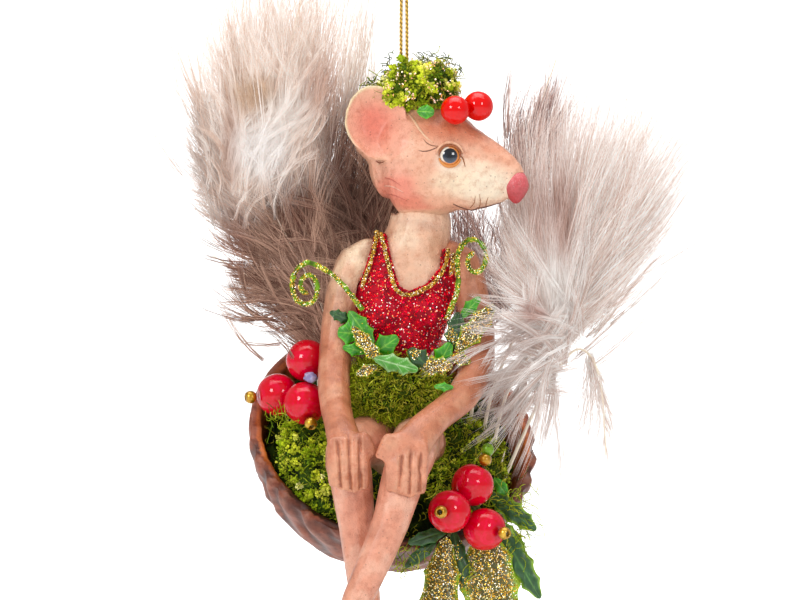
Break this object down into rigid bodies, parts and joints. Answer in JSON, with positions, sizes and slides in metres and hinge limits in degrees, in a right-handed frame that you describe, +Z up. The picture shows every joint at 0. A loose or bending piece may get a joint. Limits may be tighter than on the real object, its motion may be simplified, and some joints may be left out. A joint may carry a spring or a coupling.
{
  "type": "hanging mouse ornament",
  "caption": "Hanging ornament: a painted mouse seated in half a walnut shell, with feather wings, moss, berries and leaves, on a doubled gold cord.",
  "frame": {"origin": "top inside of the hanging cord's loop, where a hook bears", "axes": "+X to the viewer's right as the figure faces the viewer, +Y away from the viewer, +Z up"},
  "size_m": [0.1112, 0.0802, 0.1667],
  "materials": {
    "gold_cord": "metallic gold thread, twisted",
    "brass_wire": "wire wrapped in floral tape",
    "painted_resin": "cast resin, painted and washed",
    "red_glitter": "glitter over red",
    "gold_glitter": "gold glitter",
    "leaf_green": "printed cloth leaf",
    "glitter_leaf_green": "cloth leaf under gold glitter",
    "moss_light": "dyed moss",
    "moss_dark": "dyed moss",
    "walnut_brown": "varnished nut shell",
    "crimson_lacquer": "pearly lacquer",
    "vermilion_lacquer": "clear lacquer",
    "gold_bead": "gold lacquer",
    "brown_feather": "soft down and barbs",
    "white_feather": "soft down and barbs",
    "mauve_feather": "soft down and barbs",
    "screw_steel": "bright wire"
  },
  "bodies": {
    "cord": {"hanging_cord": "gold_cord"},
    "knot": {"cord_knot": "gold_cord"},
    "figure": {"arm_left": "painted_resin", "arm_right": "painted_resin", "armhole_trim_left": "gold_glitter", "armhole_trim_right": "gold_glitter", "bead_left_inner": "gold_bead", "bead_left_outer": "gold_bead", "bead_right_front": "gold_bead", "bead_right_green": "leaf_green", "bead_right_low": "gold_bead", "bead_right_top": "gold_bead", "berry_left_inner": "crimson_lacquer", "berry_left_outer": "crimson_lacquer", "berry_left_top": "crimson_lacquer", "berry_right_front": "crimson_lacquer", "berry_right_low": "crimson_lacquer", "berry_right_top": "crimson_lacquer", "bodice": "red_glitter", "collar_leaf_left_inner": "leaf_green", "collar_leaf_left_outer": "leaf_green", "collar_leaf_right_inner": "leaf_green", "collar_leaf_right_outer": "leaf_green", "feather_left_brown_front": "brown_feather", "feather_left_brown_inner": "brown_feather", "feather_left_brown_low": "brown_feather", "feather_left_brown_outer": "brown_feather", "feather_right_mauve": "mauve_feather", "glitter_leaf_broad": "glitter_leaf_green", "glitter_leaf_curled": "glitter_leaf_green", "hat_berry_left": "vermilion_lacquer", "hat_berry_right": "vermilion_lacquer", "head": "painted_resin", "holly_leaf_lower": "leaf_green", "holly_leaf_small": "leaf_green", "holly_leaf_upper": "leaf_green", "leg_left": "painted_resin", "leg_right": "painted_resin", "moss_bed": "moss_dark", "moss_hat": "moss_light", "moss_skirt": "moss_dark", "neckline_trim": "gold_glitter", "pick_stem_left": "brass_wire", "pick_stem_right": "brass_wire", "plume_left_white_inner": "white_feather", "plume_left_white_outer": "white_feather", "plume_right_low": "white_feather", "plume_right_white_inner": "white_feather", "plume_right_white_outer": "white_feather", "plume_right_wisp": "white_feather", "screw_eye": "screw_steel", "shell_moss_left": "moss_light", "shell_moss_right": "moss_dark", "tendril_left": "gold_glitter", "tendril_right": "gold_glitter", "torso": "painted_resin", "walnut_shell": "walnut_brown"}
  },
  "joints": [
    {"name": "cord_twist", "type": "hinge", "parent": "cord", "child": "knot", "pos_m": [0, 0, -0.0316], "axis": [0, 0, 1], "range_deg": [-180, 180]},
    {"name": "swing", "type": "hinge", "parent": "knot", "child": "figure", "pos_m": [0, 0, -0.0369], "axis": [1, 0, 0], "range_deg": [-15, 15]}
  ]
}
